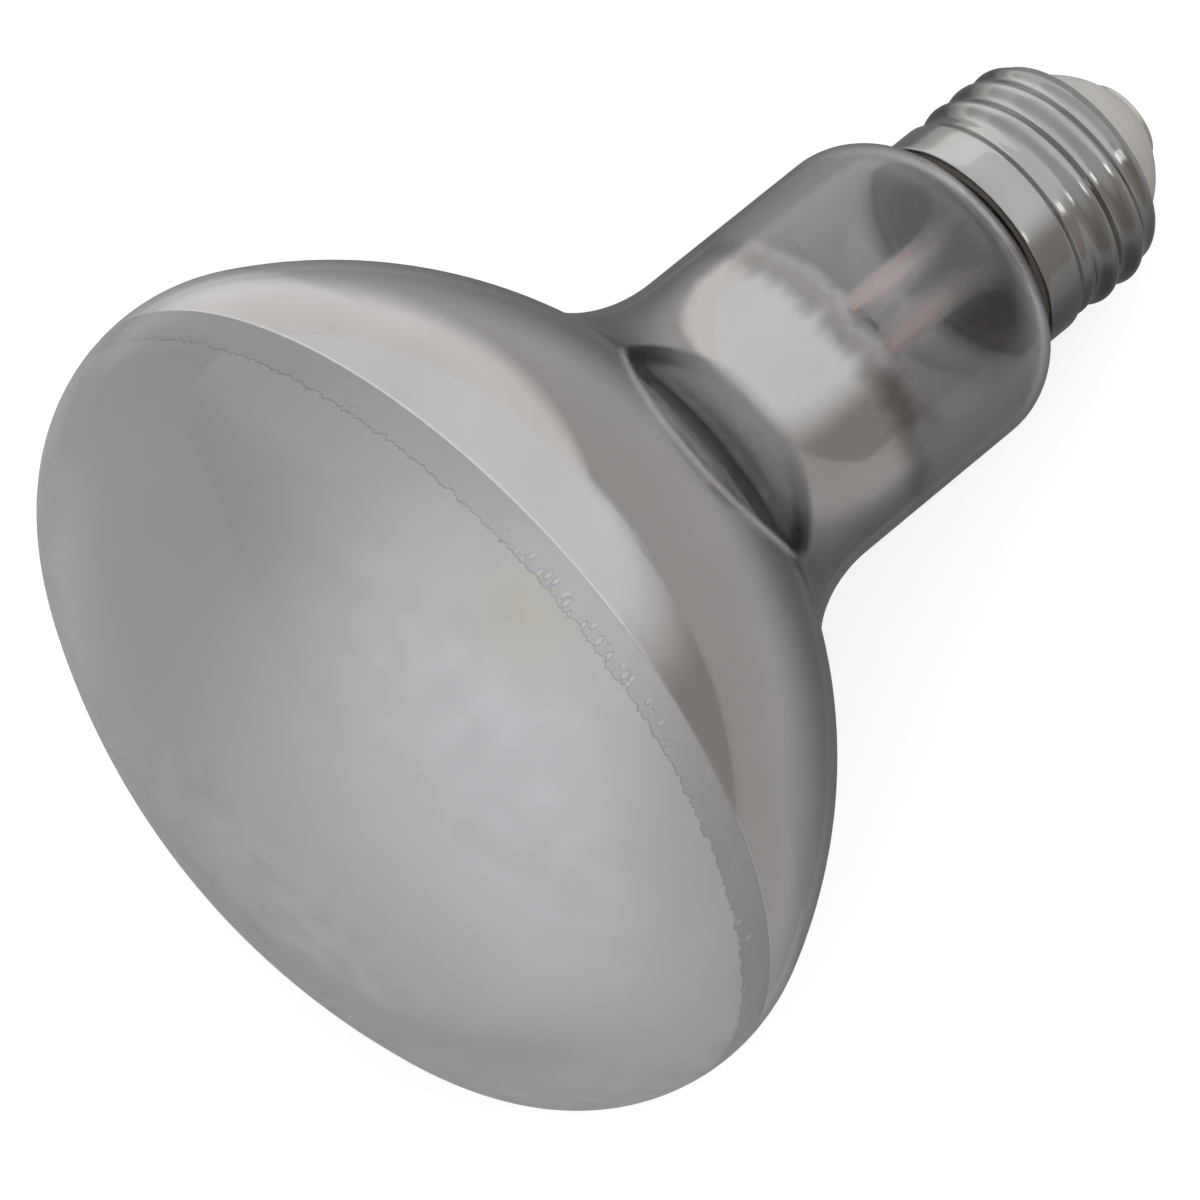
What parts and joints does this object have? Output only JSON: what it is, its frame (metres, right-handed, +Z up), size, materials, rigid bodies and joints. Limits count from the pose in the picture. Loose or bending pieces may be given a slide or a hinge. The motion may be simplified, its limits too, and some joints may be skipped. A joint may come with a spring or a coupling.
{
  "type": "reflector bulb",
  "caption": "Reflector lamp with a mirrored bowl, frosted domed face, clear neck and screw cap, lying on its side. It throws its light forward through the face.",
  "frame": {"origin": "on the table, under the middle of the lamp's length and width as it lies", "axes": "+Z up from the table; +X along the table from the cap to the face; the lamp's axis lies in the XZ plane and rises 21 degrees towards the face"},
  "size_m": [0.1264, 0.095, 0.091],
  "materials": {
    "bulb_glass": "smoky clear at the neck, mirrored inside the bowl, frosted inside the face",
    "stem_glass": "clear",
    "tungsten": "dull coiled wire",
    "wire_metal": "drawn wire",
    "feed_copper": "drawn wire",
    "cap_metal": "satin rolled sheet",
    "insulator_stone": "pale fired stone",
    "contact_brass": "stamped plate",
    "solder": "dull solder",
    "cement": "baked cement"
  },
  "bodies": {
    "root": {"glass_envelope": "bulb_glass", "stem": "stem_glass", "exhaust_tube": "stem_glass", "arbor": "stem_glass", "filament": "tungsten", "support_wire_1": "wire_metal", "support_wire_2": "wire_metal", "support_wire_3": "wire_metal", "lead_wire_left": "wire_metal", "lead_wire_right": "wire_metal", "contact_feed_wire": "feed_copper", "shell_feed_wire": "feed_copper", "cap_shell": "cap_metal", "insulator": "insulator_stone", "contact_plate": "contact_brass", "contact_solder": "solder", "basing_cement": "cement"}
  },
  "joints": []
}
